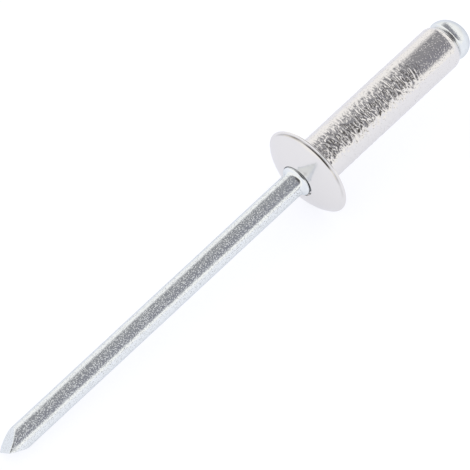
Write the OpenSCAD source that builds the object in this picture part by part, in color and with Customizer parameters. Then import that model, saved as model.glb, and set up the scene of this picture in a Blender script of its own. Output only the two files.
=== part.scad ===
// Open-end blind rivet, as sold: an aluminium body with a domed flange, strung on a steel mandrel.
// It lies as it comes to rest, on the flange's edge and on the mandrel near its pinched point.
// Each piece is a turned section about the rivet's own axis, which lay_down() then tips over.
// Along that axis z is 0 at the flange's bearing face, and grows towards the mandrel's head.

/* [Rivet body] */
// Diameter of the body's shank
body_d = 3.2; // [3:0.05:3.6]
// Length of the body under the flange
body_len = 13.45; // [9:0.05:18]
// Radius of the arc that rounds the far end in towards the mandrel's head
end_arc_r = 0.91; // [0.5:0.01:1.2]
// Width of the end face that is left flat round the foot of the mandrel's head
end_land = 0.255; // [0.15:0.005:0.35]
// Radius of the fillet between shank and flange
root_fillet_r = 0.12; // [0.04:0.02:0.24]

/* [Flange] */
// Diameter of the flange over its rim
flange_d = 6.65; // [6:0.05:8]
// Height of the rim, from the bearing face to the middle of its rounded nose
rim_h = 0.27; // [0.2:0.01:0.4]
// Radius of the rim's rounded nose
rim_nose_r = 0.07; // [0.03:0.01:0.12]
// Angle at which the rim draws in towards the bearing face
rim_draft = 22; // [5:1:35]
// Radius of the sphere that the domed face is part of
dome_r = 7; // [5:0.1:9]
// Width of the land between the mouth and the ring left by the setting punch
punch_land = 0.2; // [0.1:0.02:0.4]
// Half width of that ring
punch_ring_r = 0.06; // [0.03:0.01:0.08]
// Depth of that ring
punch_ring_depth = 0.02; // [0.01:0.005:0.03]

/* [Mandrel] */
// Diameter of the mandrel's shank
mandrel_d = 1.73; // [1.5:0.01:1.85]
// Length that stands out of the flange, to the point's edge
pull_len = 28.8; // [22:0.1:36]
// Gap all round between the mandrel and the body's bore
bore_gap = 0.06; // [0.03:0.01:0.1]
// How far the upset collar stands out from the shank, all round
collar_swell = 0.265; // [0.22:0.005:0.3]
// Radius of the collar's rounded lip
collar_lip_r = 0.2; // [0.12:0.01:0.24]
// How far that lip stands out of the flange's mouth
collar_proud = 0.31; // [0.24:0.01:0.45]
// Depth of the collar's seat in the flange
seat_depth = 0.3; // [0.15:0.01:0.45]
// Gap all round between the collar and the flange's mouth
mouth_gap = 0.06; // [0.04:0.01:0.12]
// Diameter at the bottom of the break neck
neck_d = 1.15; // [0.8:0.01:1.3]
// Distance from the head's shoulder back to the break neck
neck_back = 2.4; // [1.5:0.1:4]
// Angle between the break neck's flanks
neck_angle = 60; // [40:1:90]

/* [Mandrel head] */
// How far the head's widest part lies inside the body's diameter, on each side
head_inset = 0.11; // [0.05:0.01:0.2]
// How far the head swells out from its foot, on each side
head_swell = 0.4; // [0.32:0.01:0.48]
// Angle between the head's underside and the axis
head_cone = 50; // [40:1:65]
// Radius of the shoulder that the underside turns into
head_shoulder_r = 0.35; // [0.2:0.01:0.45]
// Radius of the rounding between the widest part and the crown
head_nose_r = 0.84; // [0.5:0.02:1]
// Radius of the sphere that the head's crown is part of
head_crown_r = 1.78; // [1.6:0.02:3]

/* [Pinched point] */
// Angle between each main facet and the axis
jaw_angle = 28; // [20:0.5:40]
// Turn of the chisel edge about the axis, measured from the vertical
jaw_turn = 46.5; // [20:0.5:70]
// How far each jaw closed out of line with the other
jaw_skew = 4; // [0:1:10]
// Angle between each side facet and the axis
side_angle = 7.5; // [4:0.5:15]
// Share of the shank's width that the side facets leave of the edge
side_keep = 0.9; // [0.6:0.01:0.95]

/* [Hidden] */
$fn = 96;

body_r = body_d / 2;
flange_r = flange_d / 2;
shank_r = mandrel_d / 2;
bore_r = shank_r + bore_gap;
collar_r = shank_r + collar_swell;
mouth_r = collar_r + mouth_gap;
neck_r = neck_d / 2;

// Mandrel head, and the end of the body that its foot sits on
head_r = body_r - head_inset;
foot_r = head_r - head_swell;
end_drop = body_r - foot_r - end_land;
end_h = sqrt(pow(end_arc_r, 2) - pow(end_arc_r - end_drop, 2));

// The head's straight underside ends here, where its shoulder begins
cone_r = head_r - head_shoulder_r * (1 - cos(head_cone));
cone_h = (cone_r - foot_r) / tan(head_cone);
head_foot_h = cone_h + head_shoulder_r * sin(head_cone);

// Centre of a crown's sphere, below the plane of the rim that it rounds into
function crown_drop(rim_r, nose_r, crown_r) =
    sqrt(pow(crown_r - nose_r, 2) - pow(rim_r - nose_r, 2));

// Heights on the domed face, at the mouth and at the punch ring
dome_z = crown_drop(flange_r, rim_nose_r, dome_r) - rim_h;
mouth_z = dome_z - sqrt(pow(dome_r, 2) - pow(mouth_r, 2));
seat_z = mouth_z + seat_depth;
ring_at_r = mouth_r + punch_land + punch_ring_r;
ring_at_z = dome_z - sqrt(pow(dome_r, 2) - pow(ring_at_r, 2));
ring_tool_r = (pow(punch_ring_r, 2) + pow(punch_ring_depth, 2)) / (2 * punch_ring_depth);

// The rim's drawn-in flank touches its nose here, and meets the bearing face at bearing_r
flank_r = flange_r - rim_nose_r * (1 - cos(rim_draft));
flank_z = rim_nose_r * sin(rim_draft) - rim_h;
bearing_r = flank_r + flank_z * tan(rim_draft);

// Lying down, the rivet touches the ground at the rim's nose and where the pinch cuts the shank's underside
tip_z = mouth_z - pull_len;
pinch_len = shank_r * sin(jaw_turn + jaw_skew) / tan(jaw_angle);
rest_run = -rim_h - tip_z - pinch_len;
rest_drop = flange_r - rim_nose_r - shank_r;
tilt = atan(rest_drop / rest_run) + asin(rim_nose_r / norm([rest_run, rest_drop]));

// The rivet's axis is laid along X, tipped so that both contacts are level
module lay_down() {
    rotate([0, 90 - tilt, 0]) children();
}

// Half outline of a crown: a rounded nose at the rim, running into part of a sphere
// It rises from z = 0 where way is 1, and hangs from it where way is -1, with a lap into what it stands on
module crown_outline(rim_r, nose_r, crown_r, way) {
    drop = crown_drop(rim_r, nose_r, crown_r);
    nose_x = rim_r - nose_r;
    reach = 2 * crown_r / (crown_r - nose_r);
    lap = -way * nose_r / 2;
    above = [[nose_x, 0], [nose_x * reach, way * drop * (reach - 1)], [0, way * drop * reach]];
    translate([nose_x, 0]) circle(nose_r);
    intersection() {
        translate([0, -way * drop]) circle(crown_r);
        polygon(concat([[0, lap], [nose_x, lap]], above));
    }
}

module shank_outline() {
    translate([0, -rim_h]) square([body_r, rim_h + body_len - end_h]);
    square([body_r - end_arc_r, body_len]);
    intersection() {
        translate([body_r - end_arc_r, body_len - end_h]) circle(end_arc_r);
        square([body_r, body_len]);
    }
}

module flange_outline() {
    polygon([[0, mouth_z], [flange_r - rim_nose_r, -rim_h], [flank_r, flank_z], [bearing_r, 0], [0, 0]]);
    translate([0, -rim_h]) crown_outline(flange_r, rim_nose_r, dome_r, -1);
}

module root_fillet_outline() {
    difference() {
        translate([body_r, 0]) square(2 * root_fillet_r, center = true);
        translate([body_r + root_fillet_r, root_fillet_r]) circle(root_fillet_r);
    }
}

// One aluminium piece: shank, flange, bore, seat for the collar and the punch's ring
// The seam of its turned faces is on top, clear of the ground
module rivet_body() {
    color("gainsboro") lay_down() rotate([0, 0, 180]) rotate_extrude() difference() {
        union() {
            shank_outline();
            flange_outline();
            root_fillet_outline();
        }
        translate([0, 2 * mouth_z]) square([bore_r, body_len - 3 * mouth_z]);
        translate([0, 2 * mouth_z]) square([mouth_r, seat_z - 2 * mouth_z]);
        translate([ring_at_r, ring_at_z + punch_ring_depth - ring_tool_r]) circle(ring_tool_r);
    }
}

// Upset collar: a seat inside the flange's mouth, and outside it a rounded lip with a fillet to the shank
module collar_outline() {
    lip_x = collar_r - collar_lip_r;
    fillet_r = lip_x - shank_r;
    translate([0, mouth_z - collar_proud]) {
        translate([lip_x, collar_lip_r]) circle(collar_lip_r);
        square([lip_x, collar_proud + seat_depth]);
        translate([0, collar_lip_r]) square([collar_r, collar_proud + seat_depth - collar_lip_r]);
        difference() {
            translate([shank_r, 0]) square(2 * fillet_r, center = true);
            translate([lip_x, -fillet_r]) circle(fillet_r);
        }
    }
}

// Button head: a straight underside, a tight shoulder, and a crown that starts at the widest part
// The underside laps into the crown, inside the shoulder
module head_outline() {
    shoulder_x = head_r - head_shoulder_r;
    top = head_foot_h + head_shoulder_r / 2;
    cone = [[0, 0], [foot_r, 0], [cone_r, cone_h], [shoulder_x, head_foot_h]];
    translate([0, body_len]) polygon(concat(cone, [[shoulder_x, top], [0, top]]));
    translate([shoulder_x, body_len + head_foot_h]) circle(head_shoulder_r);
    translate([0, body_len + head_foot_h]) intersection() {
        crown_outline(head_r, head_nose_r, head_crown_r, 1);
        square([head_r, 2 * head_crown_r]);
    }
}

// A groove with straight flanks, where the stem snaps off when the rivet is set
module neck_outline() {
    flank = 2 * (shank_r - neck_r) * tan(neck_angle / 2);
    translate([neck_r, body_len - neck_back])
        polygon([[0, 0], [2 * (shank_r - neck_r), -flank], [2 * (shank_r - neck_r), flank]]);
}

// What a jaw takes off: all that lies outside a plane leaning at an angle to the axis
module jaw_cut(turn, angle, stand_off) {
    block = 6 * mandrel_d;
    rotate([0, 0, turn])
        translate([stand_off, 0, tip_z])
            rotate([0, angle, 0])
                translate([0, -block / 2, -block / 2])
                    cube(block);
}

// One steel piece: pinched point, shank, collar, break neck and head
module mandrel() {
    color("lightsteelblue") lay_down() difference() {
        rotate_extrude() difference() {
            union() {
                translate([0, tip_z - shank_r]) square([shank_r, body_len + cone_h + shank_r - tip_z]);
                collar_outline();
                head_outline();
            }
            neck_outline();
        }
        for (side = [0, 1]) {
            jaw_cut(jaw_turn + 90 + 180 * side + jaw_skew * (2 * side - 1), jaw_angle, 0);
            jaw_cut(jaw_turn + 180 * side, side_angle, shank_r * side_keep);
        }
    }
}

rivet_body();
mandrel();
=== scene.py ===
# %% [markdown]
# A pop rivet joins two sheets from one side. It is sold as two pieces strung together: an aluminium
# body with a domed flange, and a steel mandrel that a rivet gun pulls through it. This scene lays one
# on a pale floor, under soft studio light. Every size below is in millimetres, and mm() turns it into
# Blender's metres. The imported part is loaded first, so that its box is known before anything is added.

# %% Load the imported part
import math

import bpy
import numpy as np
from mathutils import Matrix, Vector


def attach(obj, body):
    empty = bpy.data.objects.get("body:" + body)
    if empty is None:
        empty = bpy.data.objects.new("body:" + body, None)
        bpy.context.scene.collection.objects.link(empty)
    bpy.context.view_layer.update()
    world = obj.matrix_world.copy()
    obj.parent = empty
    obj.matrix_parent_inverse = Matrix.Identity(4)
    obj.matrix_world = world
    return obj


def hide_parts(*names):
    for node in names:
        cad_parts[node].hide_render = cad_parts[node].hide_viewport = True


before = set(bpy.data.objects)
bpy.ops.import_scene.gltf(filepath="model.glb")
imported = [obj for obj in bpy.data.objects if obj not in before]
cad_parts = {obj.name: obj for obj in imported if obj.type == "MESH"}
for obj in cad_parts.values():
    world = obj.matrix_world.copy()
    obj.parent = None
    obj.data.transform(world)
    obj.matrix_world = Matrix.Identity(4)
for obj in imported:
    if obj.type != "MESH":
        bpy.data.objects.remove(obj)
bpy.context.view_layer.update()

# %% [markdown]
# Three helpers serve every cell. mm() is the unit, hex_colour() turns a picked sRGB colour into the
# linear numbers that Blender's shaders use, and add_node() puts one node into a tree with its own
# settings, its inputs' numbers and the sockets that feed it. One helper for all kinds of node keeps a
# material readable as a list of what is done, instead of a page of wiring.

# %% Helpers for units, colours and nodes
def mm(length):
    return length * 0.001


def hex_colour(text):
    """Linear red, green, blue and alpha for an sRGB colour such as #EEE9E6."""
    parts = [int(text[k:k + 2], 16) / 255 for k in (1, 3, 5)]
    return [c / 12.92 if c <= 0.04045 else ((c + 0.055) / 1.055) ** 2.4 for c in parts] + [1.0]


def add_node(tree, kind, values=None, links=None, **settings):
    """Adds a node: settings are its own choices, values are its inputs' numbers, links feed its inputs."""
    node = tree.nodes.new(kind)
    for name, value in settings.items():
        setattr(node, name, value)
    for name, value in (values or {}).items():
        node.inputs[name].default_value = value
    for name, socket in (links or {}).items():
        tree.links.new(socket, node.inputs[name])
    return node


print("mid grey #808080 is", round(hex_colour("#808080")[0], 3), "in linear light")

# %% [markdown]
# Both pieces are turned forms: a half outline swept once round the rivet's axis. Blender has a Spin
# tool and a Screw modifier for that, but here the surface also gets wrinkles, pits and a pinched point,
# so the outline is laid out as points at a chosen spacing and the sweep is done in numpy, where each
# point can be moved before the mesh is made. The outline is drawn with two strokes, line() and arc().

# %% Strokes for a half outline
def line(start, end, spacing):
    """Points from start to end, without the last, about spacing apart."""
    start, end = np.array(start, float), np.array(end, float)
    count = max(1, round(np.linalg.norm(end - start) / spacing))
    return [start + (end - start) * k / count for k in range(count)]


def arc(centre, radius, first, last, spacing):
    """Points on an arc from one angle to another, in degrees, without the last."""
    count = max(2, round(abs(math.radians(last - first)) * radius / spacing))
    angles = np.radians(np.linspace(first, last, count + 1)[:-1])
    return [np.array(centre) + radius * np.array([math.cos(a), math.sin(a)]) for a in angles]


print("a quarter circle of 1 mm at 0.1 mm spacing has", len(arc((0, 0), 1, 0, 90, 0.1)), "points")

# %% [markdown]
# Cold forming leaves a surface that is never quite true. Its roughness is made of lumps() of a chosen
# size: a grid of random numbers wrapped round the piece, blended smoothly between its points. Because
# the grid closes on itself there is no seam, and the fixed seed gives the same rivet on every run.

# %% Random lumps on a turned surface
def lumps(seed, along, around, radius, heights, turns):
    """Smooth random numbers from about -1 to 1, for every height (rows) and turn (columns)."""
    rng = np.random.default_rng(seed)
    cells = max(3, round(2 * math.pi * radius / around))
    u = (heights - heights.min()) / along
    v = turns / (2 * math.pi) * cells
    grid = rng.uniform(-1.6, 1.6, (int(u.max()) + 5, cells))
    row, column = np.floor(u).astype(int), np.floor(v).astype(int)
    blend = lambda t: [
        (1 - t) ** 3 / 6, (3 * t ** 3 - 6 * t * t + 4) / 6, (3 * (t + t * t - t ** 3) + 1) / 6, t ** 3 / 6,
    ]
    total = np.zeros((len(u), len(v)))
    for i, down in enumerate(blend(u - row)):
        for j, across in enumerate(blend(v - column)):
            total += np.outer(down, across) * grid[np.ix_(row + i, (column + j) % cells)]
    return total


sample = lumps(1, 0.3, 0.5, 1.6, np.linspace(0, 3, 60), np.linspace(0, 6.28, 60))
print("lumps run from", sample.min().round(2), "to", sample.max().round(2))

# %% [markdown]
# turn_mesh() takes the points of every ring and joins neighbouring rings with four-sided faces. A tube
# joins its last ring to its first, and a solid bar closes at two points on the axis. Smooth shading is
# on everywhere: each edge that should look crisp is a small modelled radius, which catches the light as
# a real edge does. The points are tipped over before the mesh is made, so that the piece lies exactly
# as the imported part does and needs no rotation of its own.

# %% Turn rings of points into a mesh
TILT = 4.964193  # degrees that the rivet's axis rises from the ground, resting on flange and point
FLOOR = -3.336154  # height of the ground, with the middle of the flange's bearing face as zero


def lay_down(points):
    """Turns points about Y, so that their own Z lies along X and rises by TILT."""
    lean = math.radians(90 - TILT)
    c, s = math.cos(lean), math.sin(lean)
    return points @ np.array([[c, 0, -s], [0, 1, 0], [s, 0, c]])


def turn_mesh(name, rings, tube):
    """A mesh from rings of points: an array of rings x columns x 3, in millimetres along its own Z."""
    count, columns = rings.shape[:2]
    faces = []
    for r in range(count if tube else count - 1):
        below, above = r * columns, (r + 1) % count * columns
        for c in range(columns):
            beside = (c + 1) % columns
            faces.append((below + c, below + beside, above + beside, above + c))
    points = rings.reshape(-1, 3)
    if not tube:
        points = np.vstack([points, rings[0].mean(axis=0), rings[-1].mean(axis=0)])
        low, high, last = count * columns, count * columns + 1, (count - 1) * columns
        faces += [(low, (c + 1) % columns, c) for c in range(columns)]
        faces += [(high, last + c, last + (c + 1) % columns) for c in range(columns)]
    mesh = bpy.data.meshes.new(name)
    mesh.from_pydata((lay_down(points) * mm(1)).tolist(), [], faces)
    mesh.polygons.foreach_set("use_smooth", [True] * len(faces))
    piece = bpy.data.objects.new(name, mesh)
    bpy.context.scene.collection.objects.link(piece)
    print(name, len(faces), "faces")
    return piece


def paint_on(piece, name, amounts):
    """Keeps one number for every point of the mesh, which a material can read under that name."""
    values = np.zeros(len(piece.data.vertices))
    values[:amounts.size] = np.clip(amounts, 0, 1).ravel()
    piece.data.attributes.new(name, "FLOAT", "POINT").data.foreach_set("value", values)


def sweep(outline, columns):
    """The outline as an array, its outward direction at each point, and the turns at which its rings will stand."""
    outline = np.array(outline)
    turns = np.arange(columns) * 2 * math.pi / columns
    step = np.gradient(outline, axis=0)
    outward = np.column_stack([step[:, 1], -step[:, 0]])
    outward /= np.linalg.norm(outward, axis=1)[:, None]
    return outline, outward, turns


def ring_points(outline, turns):
    radius, height = outline[..., 0], outline[..., 1]
    return np.stack([radius * np.cos(turns), radius * np.sin(turns), height], axis=-1)


# %% [markdown]
# The rivet body starts as aluminium wire. A header drives a punch into it, which folds the flange and
# upsets the shank, and the grain of the metal rises as fine crosswise wrinkles where it was upset most,
# near the flange. The far end was held in the die and stays smooth. These are the sizes it was made to.

# %% Sizes of the rivet body
body_r, body_len, bore_r = 1.6, 13.45, 0.925
flange_r, dome_r, step_r, rim_nose_r, bearing_r = 3.325, 5.49, 3.09, 0.05, 2.5
mouth_r, mouth_z, seat_depth = 1.2, -1.25, 0.3
wrinkled_to = 10.4
root_fillet_r, end_arc_r, end_face_r, end_edge_r = 0.12, 0.91, 1.29, 0.05
dome_z = mouth_z + math.sqrt(dome_r ** 2 - mouth_r ** 2)
end_h = math.sqrt(end_arc_r ** 2 - (end_arc_r - body_r + end_face_r) ** 2)
print("the dome's sphere is centred", round(dome_z, 3), "mm below the bearing face")

# %% [markdown]
# The outline runs from the mouth over the dome, round the thin rim, under the flange, along the shank,
# over the rounded end and back through the bore. The dome doesn't reach the rim: the header's cup ends
# in a small step, which leaves a lip outside it. Under the flange the metal thins towards the rim.
# follow() lays a rounded corner at the outline's end and hands on the point where it stops, so the step
# is drawn as a walk of turns and straights. Edges that a punch leaves get a radius of a few hundredths
# of a millimetre, about what such tools wear to.

# %% Outline of the rivet body
FINE = 0.04
rim_under_r, rim_under_z = 3.2, -0.13
dome_at = lambda r: dome_z - math.sqrt(dome_r ** 2 - r * r)
ring_r, ring_w, ring_d = 1.45, 0.09, 0.006
dome_steps = np.arange(mouth_r + 0.05, step_r, FINE)
dome_points = [np.array([r, dome_at(r) + ring_d * math.exp(-((r - ring_r) / ring_w) ** 2)]) for r in dome_steps]


def follow(points, here, radius, first, last, straight):
    """A corner from one facing to another, in degrees, and a straight run; returns where it ends."""
    way = 1 if last > first else -1
    facing = lambda angle: np.array([math.cos(math.radians(angle)), math.sin(math.radians(angle))])
    centre = np.array(here) - way * radius * facing(first)
    count = max(2, round(math.radians(abs(last - first)) * radius / 0.014))
    points += [centre + way * radius * facing(angle) for angle in np.linspace(first, last, count + 1)]
    end = points[-1] + straight * np.array([-facing(last)[1], facing(last)[0]])
    if straight:
        points += [points[-1] + (end - points[-1]) * k for k in (0.33, 0.67)]
    return end


dome_facing = -90 + math.degrees(math.asin(step_r / dome_r))
rim_points = []
here = follow(rim_points, (step_r, dome_at(step_r)), 0.06, dome_facing, -16, 0.07)
here = follow(rim_points, here, 0.04, -16, -68, 0.125)
here = follow(rim_points, here, rim_nose_r, -68, 60, 0.0)
print("the rim reaches a radius of", round(max(p[0] for p in rim_points), 3), "mm at a height of", round(here[1], 3))
edge_turn = math.degrees(math.asin((end_h - end_edge_r) / (end_arc_r - end_edge_r)))
edge_x = body_r - end_arc_r + (end_arc_r - end_edge_r) * math.cos(math.radians(edge_turn))
body_outline = (
    arc((mouth_r + 0.035, mouth_z + 0.035 + 0.004), 0.035, 180, 285, 0.012)
    + dome_points
    + rim_points
    + line(here, (rim_under_r, rim_under_z), FINE)[1:]
    + line((rim_under_r, rim_under_z), (bearing_r, 0), 0.08)
    + line((bearing_r, 0), (body_r + root_fillet_r, 0), 0.08)
    + arc((body_r + root_fillet_r, root_fillet_r), root_fillet_r, 270, 180, 0.03)
    + line((body_r, root_fillet_r), (body_r, wrinkled_to), 0.03)
    + line((body_r, wrinkled_to), (body_r, body_len - end_h), 0.06)
    + arc((body_r - end_arc_r, body_len - end_h), end_arc_r, 0, edge_turn, FINE)
    + arc((edge_x, body_len - end_edge_r), end_edge_r, edge_turn, 90, 0.015)
    + line((edge_x, body_len), (bore_r + 0.03, body_len), 0.06)
    + arc((bore_r + 0.03, body_len - 0.03), 0.03, 90, 180, 0.015)
    + line((bore_r, body_len - 0.03), (bore_r, mouth_z + seat_depth), 0.6)
    + line((bore_r, mouth_z + seat_depth), (mouth_r, mouth_z + seat_depth), 0.07)
    + line((mouth_r, mouth_z + seat_depth), (mouth_r, mouth_z + 0.045), 0.06)
)
body_line, body_out, body_turns = sweep(body_outline, 180)
print("outline of", len(body_line), "points")

# %% [markdown]
# The wrinkles are real height on the mesh, not a trick of shading. They are folds about 0.2 mm apart
# along the rivet and some three times as long round it, with flat tops, flat bottoms and steep sides
# between: tanh of the lumps gives that form. The steep sides throw the reflection from dark to white.
# The folds are strongest on one side and fade out over the last quarter, where the die held the wire.
# Finer pits run over the whole shank.

# %% Wrinkle the shank
z = body_line[:, 1]
shank = (body_out[:, 0] > 0.5) & (body_line[:, 0] > body_r - 0.1) & (z > 0.1)
fade = np.clip((z - 0.2) / 0.6, 0, 1) * np.clip((wrinkled_to - z) / 1.6, 0, 1)
front_turn = 209  # degrees round the rivet, on the side that the photograph shows
side = (np.degrees(body_turns) - front_turn + 180) % 360 - 180
strong = 0.25 + 0.75 / (1 + np.exp((np.abs(side + 2) - 31) / 4))
coarse_folds = lumps(11, 0.08, 0.23, body_r, z, body_turns)
fine_folds = lumps(15, 0.05, 0.14, body_r, z, body_turns)
folds = 0.7 * coarse_folds + 0.5 * fine_folds
wrinkle = 0.050 * np.tanh(2.2 * folds) * fade[:, None] * strong
pits = -0.012 * np.clip(lumps(12, 0.07, 0.09, body_r, z, body_turns) - 0.55, 0, 1)
waves = 0.003 * lumps(13, 1.1, 1.3, body_r, z, body_turns)
height = (wrinkle + pits + waves) * shank[:, None]
valleys = np.clip((-0.015 - wrinkle) / 0.025, 0, 1) * shank[:, None]
print("wrinkles up to", height.max().round(4), "mm high")

# %% [markdown]
# Painted shade darkens the step of the rim, most on one side, and the deepest wrinkles, where a crease
# and the folds' valleys would hold shade. It is a number painted on the points of the mesh, which the
# material reads later to darken the metal. A second number says where the surface is grainy: the shank
# is, and the struck faces of the flange are smooth. The punch that folded the flange wasn't quite in
# line with the wire, so the whole flange sits a little off the middle of the shank.

# %% Paint shade into the rim's step and set the flange off centre
front = z < -0.15
step_patches = 0.65 + 0.35 * lumps(14, 5.0, 0.5, flange_r, z, body_turns)
shade_line_r, shade_line_width = 3.145, 0.035
in_step = np.exp(-((body_line[:, 0] - shade_line_r) / shade_line_width) ** 2) * front
along_step = np.clip((side + 84) / 14, 0, 1) * np.clip((66 - side) / 50, 0, 1)
# painted shade: a dark line in the rim's step, patchy and most on one side, and the wrinkles' deepest valleys
painted_shade = 0.12 * valleys + 0.75 * in_step[:, None] * along_step * step_patches
radius = body_line[:, None, 0] + body_out[:, None, 0] * height
level = body_line[:, None, 1] + body_out[:, None, 1] * height
body_rings = ring_points(np.stack([radius, level], axis=-1), body_turns[None, :])
off_centre, off_turn = 0.05, -1.065
on_flange = (z < 0.02) & (body_line[:, 0] > 1.0)
body_rings[on_flange] += off_centre * np.array([math.cos(off_turn), math.sin(off_turn), 0])
rivet_body = turn_mesh("rivet_body_headed", body_rings, tube=True)
paint_on(rivet_body, "painted_shade", painted_shade)
paint_on(rivet_body, "grain", shank[:, None] * np.ones(len(body_turns)))
# the share of points that carry strong painted shade
print("stained over", (painted_shade > 0.2).mean().round(3), "of the points")

# %% [markdown]
# The mandrel is drawn steel wire. One end is upset into a button head, which later swells the body from
# inside. Near the head a notch is rolled in, where the wire will snap. Where the wire leaves the flange
# it was upset a second time, into a collar: a hollow flare that turns over into a rounded lip. The other
# end is pinched off by two jaws, which leaves a short chisel point with a facet on each side.

# %% Sizes and outline of the mandrel
shank_r, collar_r, flare_r, lip_r, collar_slant, lip_z = 0.865, 1.13, 0.26, 0.14, 58, mouth_z - 0.03
neck_r, neck_back = 0.575, 2.4
head_r, foot_r, head_cone, shoulder_r, head_nose_r, head_crown_r = 1.49, 1.28, 75, 0.27, 1.296, 1.78
tip_z, stock_end = -29.68, -29.84
slant = math.radians(collar_slant)
slope = (collar_r - shank_r - (flare_r + lip_r) * (1 - math.cos(slant))) / math.sin(slant)
flare_z = lip_z - (flare_r + lip_r) * math.sin(slant) - slope * math.cos(slant)
slope_from = (shank_r + flare_r * (1 - math.cos(slant)), flare_z + flare_r * math.sin(slant))
slope_to = (collar_r - lip_r * (1 - math.cos(slant)), lip_z - lip_r * math.sin(slant))
neck_z, neck_half = body_len - neck_back, (shank_r - neck_r) * math.tan(math.radians(30))
cone = math.radians(head_cone)
cone_r = head_r - shoulder_r * (1 - math.cos(cone))
cone_z = body_len + (cone_r - foot_r) / math.tan(cone)
rim_z = cone_z + shoulder_r * math.sin(cone)
crown_z = rim_z - math.sqrt((head_crown_r - head_nose_r) ** 2 - (head_r - head_nose_r) ** 2)
turn_over = math.degrees(math.atan2(rim_z - crown_z, head_r - head_nose_r))
mandrel_outline = (
    line((0.03, stock_end), (shank_r, stock_end), 0.03)
    + line((shank_r, stock_end), (shank_r, tip_z + 2.4), 0.03)
    + line((shank_r, tip_z + 2.4), (shank_r, flare_z), 0.052)
    + arc((shank_r + flare_r, flare_z), flare_r, 180, 180 - collar_slant, 0.02)
    + line(slope_from, slope_to, 0.02)
    + arc((collar_r - lip_r, lip_z), lip_r, -collar_slant, 0, 0.016)
    + line((collar_r, lip_z), (collar_r, mouth_z + seat_depth), 0.1)
    + line((collar_r, mouth_z + seat_depth), (shank_r, mouth_z + seat_depth), 0.1)
    + line((shank_r, mouth_z + seat_depth), (shank_r, neck_z - neck_half), 0.6)
    + line((shank_r, neck_z - neck_half), (neck_r, neck_z), 0.1)
    + line((neck_r, neck_z), (shank_r, neck_z + neck_half), 0.1)
    + line((shank_r, neck_z + neck_half), (shank_r, body_len + 0.003), 0.6)
    + line((shank_r, body_len + 0.003), (foot_r, body_len + 0.003), 0.08)
    + line((foot_r, body_len + 0.003), (cone_r, cone_z), 0.03)
    + arc((head_r - shoulder_r, rim_z), shoulder_r, -head_cone, 0, 0.02)
    + arc((head_r - head_nose_r, rim_z), head_nose_r, 0, turn_over, 0.03)
    + arc((0, crown_z), head_crown_r, turn_over, 88.5, 0.035)
)
mandrel_line, _, mandrel_turns = sweep(mandrel_outline, 112)
print("the head is", round(crown_z + head_crown_r - body_len, 3), "mm high")

# %% [markdown]
# The point is made the way the jaws make it. Four flat planes close in on the wire, and each point of
# the wire that lies outside one is drawn towards a spot on the axis until it lies inside. Where two
# planes meet, the nearer one takes over gradually, which rounds the edge as pinched steel is rounded.

# %% Pinch the point
jaw_turn, jaw_skew, jaw_angles, jaw_off, side_angle, side_keep = 46.5, 4, (31, 26), 0.07, 7.5, 0.9
pinch_reach = 2.3
heart = np.array([0, 0, tip_z + pinch_reach])
planes = []
for jaw in (0, 1):
    way = 2 * jaw - 1
    for turn, angle, stand_off in (
        (jaw_turn + 90 + 180 * jaw + jaw_skew * way, jaw_angles[jaw], jaw_off * way),
        (jaw_turn + 180 * jaw, side_angle, shank_r * side_keep),
    ):
        facing = np.array([math.cos(math.radians(turn)), math.sin(math.radians(turn)), 0])
        out = facing * math.cos(math.radians(angle))
        out[2] = -math.sin(math.radians(angle))
        planes.append((out, out @ (facing * stand_off + [0, 0, tip_z])))
wire = np.repeat(mandrel_line[:, None, :], len(mandrel_turns), axis=1)
rings = ring_points(wire, mandrel_turns[None, :])
near = rings[..., 2] < tip_z + 2.25
ray = rings[near] - heart
tiny, far = 1e-9, 3.0
shares = []
for out, reach in planes:
    towards = ray @ out
    share = np.where(towards > tiny, (reach - out @ heart) / np.maximum(towards, tiny), far)
    shares.append(np.minimum(share, far))
shares = np.stack(shares + [np.ones(len(ray))])
soften = 60.0
keep = -np.log(np.exp(-soften * shares).sum(axis=0)) / soften
rings[near] = heart + ray * np.minimum(keep, 1.0)[:, None]
print("pinched", int((keep < 0.999).sum()), "points;", "lowest", rings[..., 2].min().round(3))

# %% [markdown]
# Drawn wire that was then zinc plated in a barrel is nearly straight but not glass smooth: it has long
# shallow waves and small dents from the other rivets in the barrel. Both are height on the mesh again.
# The head has neither, because the header's tool polished it.

# %% Wave and dent the wire
mz = mandrel_line[:, 1]
stem = (mz < flare_z - 0.1) & (mandrel_line[:, 0] > shank_r - 0.01) & (mz > tip_z + pinch_reach)
waves = 0.0016 * lumps(21, 1.2, 0.9, shank_r, mz, mandrel_turns)
dents = -0.007 * np.clip(lumps(22, 0.11, 0.11, shank_r, mz, mandrel_turns) - 0.2, 0, 1)
pinholes = -0.03 * np.clip(lumps(23, 0.07, 0.07, shank_r, mz, mandrel_turns) - 0.85, 0, 1)
push = (waves + dents + pinholes) * stem[:, None]
rings[..., 0] += push * np.cos(mandrel_turns)[None, :]
rings[..., 1] += push * np.sin(mandrel_turns)[None, :]
print("dents up to", -push.min().round(4), "mm deep")
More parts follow.
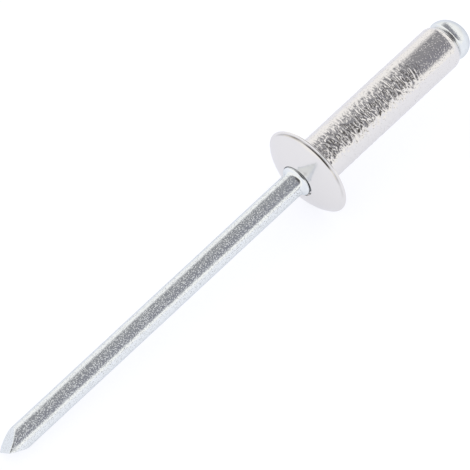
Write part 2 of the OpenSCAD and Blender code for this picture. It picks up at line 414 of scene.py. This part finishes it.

# %% [markdown]
# The button head was struck a little askew, so it leans over towards the rivet body on one side. Leaning
# is a shift along the axis that grows across the head, and starts from nothing at its foot. Painted shade
# darkens the collar's lip where it meets the flange, the head a little and its crown more, and the stem a
# touch before the collar. The stem is grainy, and the head and collar were polished by their tools.

# %% Lean the head and paint shade on the lip, the crown and the stem
head_lean, lean_reach, lean_turn = 0.13, 0.45, math.radians(184)
above_foot = np.clip((mz - body_len) / lean_reach, 0, 1)
lean_share = head_lean * above_foot ** 2 * (3 - 2 * above_foot)
across = rings[..., 0] * math.cos(lean_turn) + rings[..., 1] * math.sin(lean_turn)
rings[..., 2] -= lean_share[:, None] * across
# the stem's painted shade starts here and grows towards the collar
root_z = -3.3
root = np.clip((mz - root_z) / 1.3, 0, 1) * (mz < flare_z + 0.2) * (mandrel_line[:, 0] < shank_r + 0.2)
patchy = 0.65 + 0.35 * lumps(24, 0.12, 0.12, shank_r, mz, mandrel_turns)
mandrel = turn_mesh("mandrel_drawn", rings, tube=False)
# painted shade: a little over the whole head, more on its crown, and on the collar's lip
head = 0.08 * (mz > body_len) + 0.26 * np.clip((mz - 14.25) / 0.5, 0, 1)
lip = 0.35 * (mz > lip_z - 0.07) * (mz < 0) * (mandrel_line[:, 0] > 1.0)
paint_on(mandrel, "painted_shade", (0.04 * root + head + lip)[:, None] * patchy)
paint_on(mandrel, "grain", (0.15 + 0.85 * (mz < flare_z))[:, None] * np.ones(len(mandrel_turns)))
print("a touch duller from", root_z, "mm on")

# %% [markdown]
# The rivet body is bright aluminium, left as the header made it. Bare aluminium reflects nearly all
# light, with a faintly warm tint, and has no colour of its own under the reflection. Its surface is
# satin: fine grain blurs the reflection, which is what roughness says. Two small bumps add what is too
# fine for the mesh: an even grain, and sparse specks that stand out of it. Real grain is some hundredths
# of a millimetre across. Here it is 0.13 mm and the specks are 0.1 mm, as coarse as they must be to show.

# %% Bright aluminium, as headed
def new_material(name):
    material = bpy.data.materials.new(name)
    material.use_nodes = True
    material.node_tree.nodes.clear()
    return material


def per_mm(size):
    """Scale that makes a noise pattern's features that many millimetres wide."""
    return 1000.0 / size


GRAIN_MM, GRAIN_DEPTH = 0.13, 0.004


def bright_metal(name, clean, shade_colour, edge, roughness, speck_mm, speck_depth):
    """Bright metal: a clean colour and a darker colour of painted shade, a tint at grazing angles, a grain and
    sparse specks.
    """
    metal = new_material(name)
    tree = metal.node_tree
    place = add_node(tree, "ShaderNodeTexCoord").outputs["Object"]
    painted_shade = add_node(tree, "ShaderNodeAttribute", attribute_name="painted_shade").outputs["Fac"]
    grainy = add_node(tree, "ShaderNodeAttribute", attribute_name="grain").outputs["Fac"]
    tint = add_node(
        tree, "ShaderNodeMix", {6: hex_colour(clean), 7: hex_colour(shade_colour)}, {"Factor": painted_shade}, data_type="RGBA",
    )
    noise = add_node(tree, "ShaderNodeTexNoise", {"Scale": per_mm(GRAIN_MM), "Detail": 2.0}, {"Vector": place})
    fine = add_node(
        tree, "ShaderNodeBump", {"Distance": mm(GRAIN_DEPTH)}, {"Height": noise.outputs["Fac"], "Strength": grainy},
    )
    spots = add_node(tree, "ShaderNodeTexNoise", {"Scale": per_mm(speck_mm), "Detail": 0.0}, {"Vector": place})
    sparse = add_node(
        tree, "ShaderNodeMapRange", {"From Min": 0.60, "From Max": 0.74}, {"Value": spots.outputs["Fac"]},
    )
    specks = add_node(
        tree, "ShaderNodeBump", {"Distance": mm(speck_depth)},
        {"Height": sparse.outputs[0], "Strength": grainy, "Normal": fine.outputs["Normal"]},
    )
    shader = add_node(
        tree, "ShaderNodeBsdfPrincipled",
        {"Metallic": 1.0, "Roughness": roughness, "Specular Tint": hex_colour(edge)},
        {"Base Color": tint.outputs[2], "Normal": specks.outputs["Normal"]},
    )
    add_node(tree, "ShaderNodeOutputMaterial", links={"Surface": shader.outputs["BSDF"]})
    return metal


# the darker colour is painted shade, mixed in by the number painted on the mesh
aluminium = bright_metal(
    "bright aluminium as headed", clean="#EFEDEC", shade_colour="#57504B", edge="#FAFAFC",
    roughness=0.11, speck_mm=0.10, speck_depth=0.010,
)
rivet_body.data.materials.append(aluminium)
print(aluminium.name, "on", rivet_body.name)

# %% [markdown]
# The mandrel is steel with a bright zinc plate, passivated clear, which gives its faint blue. Plating
# is smoother than the aluminium, so its reflections are sharper, with finer and deeper specks where gas
# bubbles sat in the bath.

# %% Bright zinc plated steel
# the darker colour is painted shade, mixed in by the number painted on the mesh
zinc = bright_metal(
    "bright zinc plated steel", clean="#F3F7F9", shade_colour="#5F6266", edge="#E9ECEF",
    roughness=0.08, speck_mm=0.08, speck_depth=0.035,
)
mandrel.data.materials.append(zinc)
print(zinc.name, "on", mandrel.name)

# %% Tie the pieces to the part
for piece, node, finish in (
    (rivet_body, "rivet_body", "body_aluminium"),
    (mandrel, "mandrel", "mandrel_steel"),
):
    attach(piece, "root")
    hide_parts(node)
    print(piece.name, "stands for", node)

# %% [markdown]
# The floor is a wide pale sheet. To the camera, and in the metal's reflections, it is close to white:
# part of that is its own even glow and part is the light that falls on it, so the rivet's soft shadow
# still shows. Light that bounces off it to anything else sees plain pale paint. Its glow is a little
# cool, and a little lower in reflections than to the camera, which keeps the metal's lower side grey.

# %% Pale floor
bpy.ops.mesh.primitive_plane_add(size=4.0, location=(0, 0, mm(FLOOR)))
floor = bpy.context.object
floor.name = "floor"
paper = new_material("pale studio paper")
tree = paper.node_tree
rays = add_node(tree, "ShaderNodeLightPath").outputs
seen = rays["Is Camera Ray"]
for kind in ("Is Glossy Ray", "Is Transmission Ray"):
    seen = add_node(tree, "ShaderNodeMath", links={0: seen, 1: rays[kind]}, operation="MAXIMUM").outputs[0]
level = add_node(tree, "ShaderNodeMapRange", {"To Min": 0.68, "To Max": 0.81}, {"Value": rays["Is Camera Ray"]})
glow = add_node(tree, "ShaderNodeEmission", {"Color": hex_colour("#FAFBFF")}, {"Strength": level.outputs[0]})
paint = add_node(tree, "ShaderNodeBsdfDiffuse", {"Color": hex_colour("#8C8C91")})
both = add_node(tree, "ShaderNodeAddShader", links={0: glow.outputs[0], 1: paint.outputs[0]})
choice = add_node(tree, "ShaderNodeMixShader", links={0: seen, 1: paint.outputs[0], 2: both.outputs[0]})
add_node(tree, "ShaderNodeOutputMaterial", links={"Surface": choice.outputs[0]})
floor.data.materials.append(paper)
print("floor at", FLOOR, "mm")

# %% [markdown]
# Bright metal shows its surroundings and nothing else, so the studio matters more than the lamps. It is
# a white tent with a dark opening overhead, where the camera looks in: the metal mirrors white
# walls all round and the darker opening as a band along its top. The world draws this by direction,
# and only for reflections. Everything else sees an even white sky of strength 1. The opening is a wedge
# between three soft edges, each a plane that a direction lies above or below.

# %% Studio: white walls and the edges of the opening
world = bpy.data.worlds.new("studio tent")
bpy.context.scene.world = world
world.use_nodes = True
tree = world.node_tree
tree.nodes.clear()
way = add_node(tree, "ShaderNodeTexCoord").outputs["Generated"]


def beyond(plane, start, end):
    """0 to 1 as the direction passes from start to end across a plane, with the height across it."""
    across = add_node(tree, "ShaderNodeVectorMath", {1: plane}, {0: way}, operation="DOT_PRODUCT").outputs["Value"]
    soft = add_node(
        tree, "ShaderNodeMapRange", {"From Min": start, "From Max": end}, {"Value": across},
        interpolation_type="SMOOTHSTEP",
    )
    return soft.outputs[0], across


def times(first, second):
    return add_node(tree, "ShaderNodeMath", links={0: first, 1: second}, operation="MULTIPLY").outputs[0]


far_edge, _ = beyond((0.526, -0.713, 0.462), -0.18, 0.18)
near_edge, from_near = beyond((0.099, 0.469, 0.878), -0.12, 0.12)
end_edge, _ = beyond((-1.0, 0.075, 0.0), -0.78, -0.66)
inside = times(times(far_edge, near_edge), end_edge)
print("three edges bound the opening")

# %% [markdown]
# The opening isn't one flat grey. It is a little lighter away from its near edge, where light from the
# tent falls on the ceiling, and darkest round the camera itself.

# %% Shades inside the opening
shade = add_node(tree, "ShaderNodeValToRGB", links={"Fac": from_near})
stops = shade.color_ramp.elements
stops[0].position, stops[0].color = 0.10, hex_colour("#98989F")
stops[1].position, stops[1].color = 0.90, hex_colour("#939397")
for spot, text in ((0.35, "#8D8D95"), (0.55, "#8D8D94")):
    stops.new(spot).color = hex_colour(text)
round_camera, _ = beyond((-0.492, -0.439, 0.753), 0.62, 1.0)
shade = add_node(
    tree, "ShaderNodeMix", {7: hex_colour("#565350")}, {"Factor": round_camera, 6: shade.outputs["Color"]},
    data_type="RGBA",
)
walls = add_node(
    tree, "ShaderNodeMix", {6: hex_colour("#FFFDFA")}, {"Factor": inside, 7: shade.outputs[2]},
    data_type="RGBA",
)
rays = add_node(tree, "ShaderNodeLightPath").outputs
sky = add_node(
    tree, "ShaderNodeMix", {6: hex_colour("#FFFFFF")}, {"Factor": rays["Is Glossy Ray"], 7: walls.outputs[2]},
    data_type="RGBA",
)
light = add_node(tree, "ShaderNodeBackground", {"Strength": 1.0}, {"Color": sky.outputs[2]})
add_node(tree, "ShaderNodeOutputWorld", links={"Surface": light.outputs[0]})
print("the studio is ready")

# %% [markdown]
# The photograph was taken from a height, with a long lens that shows no perspective. The camera is
# placed by its direction, and aimed so that the middle of the flange falls where the photograph has it.

# %% Camera
AZIMUTH, ELEVATION, DISTANCE = -48.2, 48.8, 0.851
AIM_RIGHT, AIM_UP = -4.858, -4.301
a, e = math.radians(AZIMUTH), math.radians(ELEVATION)
back = Vector((math.sin(a) * math.cos(e), -math.cos(a) * math.cos(e), math.sin(e)))
right = Vector((math.cos(a), math.sin(a), 0))
up = back.cross(right)
aim = right * mm(AIM_RIGHT) + up * mm(AIM_UP)
lens = bpy.data.cameras.new("camera")
lens.lens, lens.sensor_width = 1000.0, 36.0
lens.clip_start, lens.clip_end = 0.01, 20.0
camera = bpy.data.objects.new("camera", lens)
camera.location = aim + back * DISTANCE
camera.rotation_euler = Matrix((right, up, back)).transposed().to_euler()
bpy.context.scene.collection.objects.link(camera)
bpy.context.scene.camera = camera
bpy.context.scene.view_settings.view_transform = "Standard"
print("camera at", [round(c, 4) for c in camera.location])

# %% [markdown]
# Last, the scene is brought up to date.

# %% Finish
bpy.context.view_layer.update()
